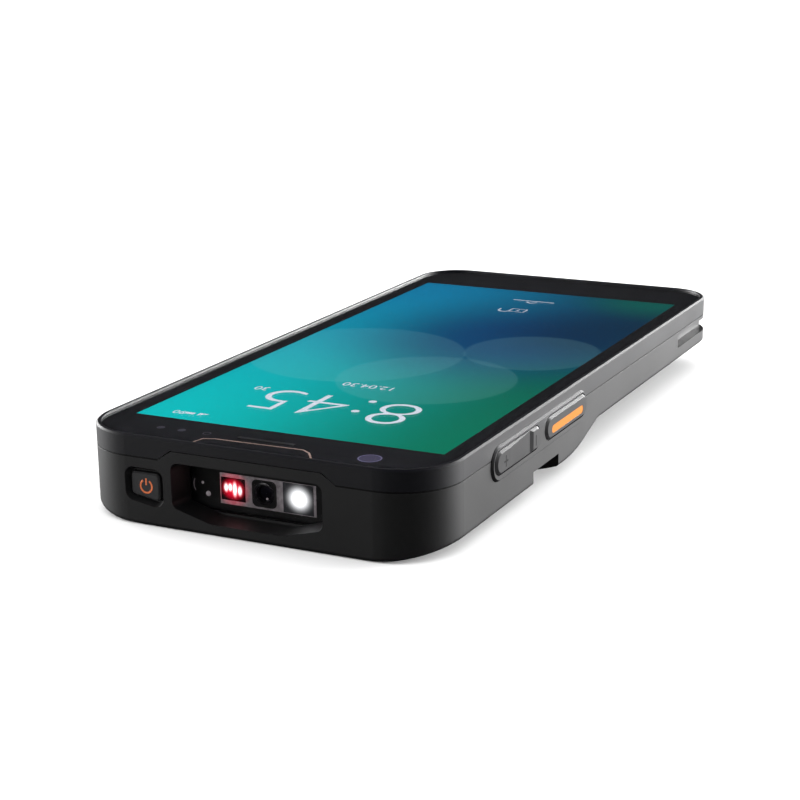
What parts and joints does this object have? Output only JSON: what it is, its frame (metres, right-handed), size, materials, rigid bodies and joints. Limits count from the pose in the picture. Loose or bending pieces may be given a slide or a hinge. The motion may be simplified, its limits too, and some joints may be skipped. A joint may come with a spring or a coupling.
{
  "type": "handheld data terminal",
  "caption": "Slab-shaped handheld mobile computer with a touch screen, a scan window in its end face, side keys, and a battery door and latch in its stepped back.",
  "frame": {"origin": "centre of the bounding box in plan, at the level of the flat underside of the thick part", "axes": "+Z out of the display, -Y towards the scan window's end, +X the side with the volume key and the seen trigger"},
  "size_m": [0.0804, 0.168, 0.018],
  "materials": {
    "housing": "fine grained, matte",
    "bezel": "fine grained, satin rim",
    "cover_glass": "polished, dark printed border",
    "adhesive": "matte",
    "display": "lit panel",
    "foam": "matte foam",
    "frame_metal": "satin",
    "board": "solder mask",
    "screw": "blackened",
    "window": "polished, dark tint",
    "engine": "matte black",
    "plate": "light grey",
    "red_lens": "glossy red",
    "white_lens": "glossy, cloudy",
    "lens": "coated",
    "film": "amber film",
    "key": "satin",
    "stripe": "satin orange",
    "switch": "satin",
    "steel": "satin",
    "black_part": "matte",
    "mesh": "fine woven",
    "pack": "smooth wrap",
    "contacts": "moulded"
  },
  "bodies": {
    "case": {"rear_housing": "housing", "front_bezel": "bezel", "cover_glass": "cover_glass", "glass_seal": "adhesive", "display_panel": "display", "display_cushion": "foam", "mid_frame": "frame_metal", "main_board": "board", "case_screws": "screw", "scan_window": "window", "scan_engine": "engine", "engine_plate": "plate", "aimer_module": "engine", "imager_holder": "engine", "imager_lens": "lens", "red_lamp": "red_lens", "white_lamp": "white_lens", "scan_ribbon": "film", "power_switch": "switch", "receiver": "black_part", "earpiece_mesh": "mesh", "light_sensor": "black_part", "front_camera": "lens", "rocker_pin": "steel", "switch_strip_right": "switch", "switch_strip_left": "switch", "chip_shield": "steel", "card_socket": "steel", "rear_camera_window": "lens", "rear_camera": "black_part", "rear_lamp": "white_lens", "speaker_mesh": "mesh", "loudspeaker": "black_part", "vibration_motor": "steel", "battery_pack": "pack", "battery_contacts": "contacts", "usb_socket": "steel"},
    "power_button": {"power_button": "key"},
    "trigger_right": {"trigger_right": "key", "stripe_right": "stripe"},
    "trigger_left": {"trigger_left": "key", "stripe_left": "stripe"},
    "volume_rocker": {"volume_rocker": "key"},
    "battery_door": {"battery_door": "housing"},
    "door_latch": {"door_latch": "key"}
  },
  "joints": [
    {"name": "power_press", "type": "slide", "parent": "case", "child": "power_button", "axis": [0, 1, 0], "range_m": [0, 0.0004], "stiffness_N_per_m": 500},
    {"name": "volume_tilt", "type": "hinge", "parent": "case", "child": "volume_rocker", "pos_m": [0.0365, -0.04725, 0.01265], "axis": [0, 0, 1], "range_deg": [-1.5, 1.5], "stiffness_Nm_per_rad": 0.05},
    {"name": "trigger_right_press", "type": "slide", "parent": "case", "child": "trigger_right", "axis": [-1, 0, 0], "range_m": [0, 0.0005], "stiffness_N_per_m": 500},
    {"name": "trigger_left_press", "type": "slide", "parent": "case", "child": "trigger_left", "axis": [1, 0, 0], "range_m": [0, 0.0005], "stiffness_N_per_m": 500},
    {"name": "battery_door_hinge", "type": "hinge", "parent": "case", "child": "battery_door", "pos_m": [0, 0.0735, 0.0042], "axis": [1, 0, 0], "range_deg": [0, 50]},
    {"name": "latch_slide", "type": "slide", "parent": "battery_door", "child": "door_latch", "axis": [0, -1, 0], "range_m": [0, 0.002]}
  ]
}
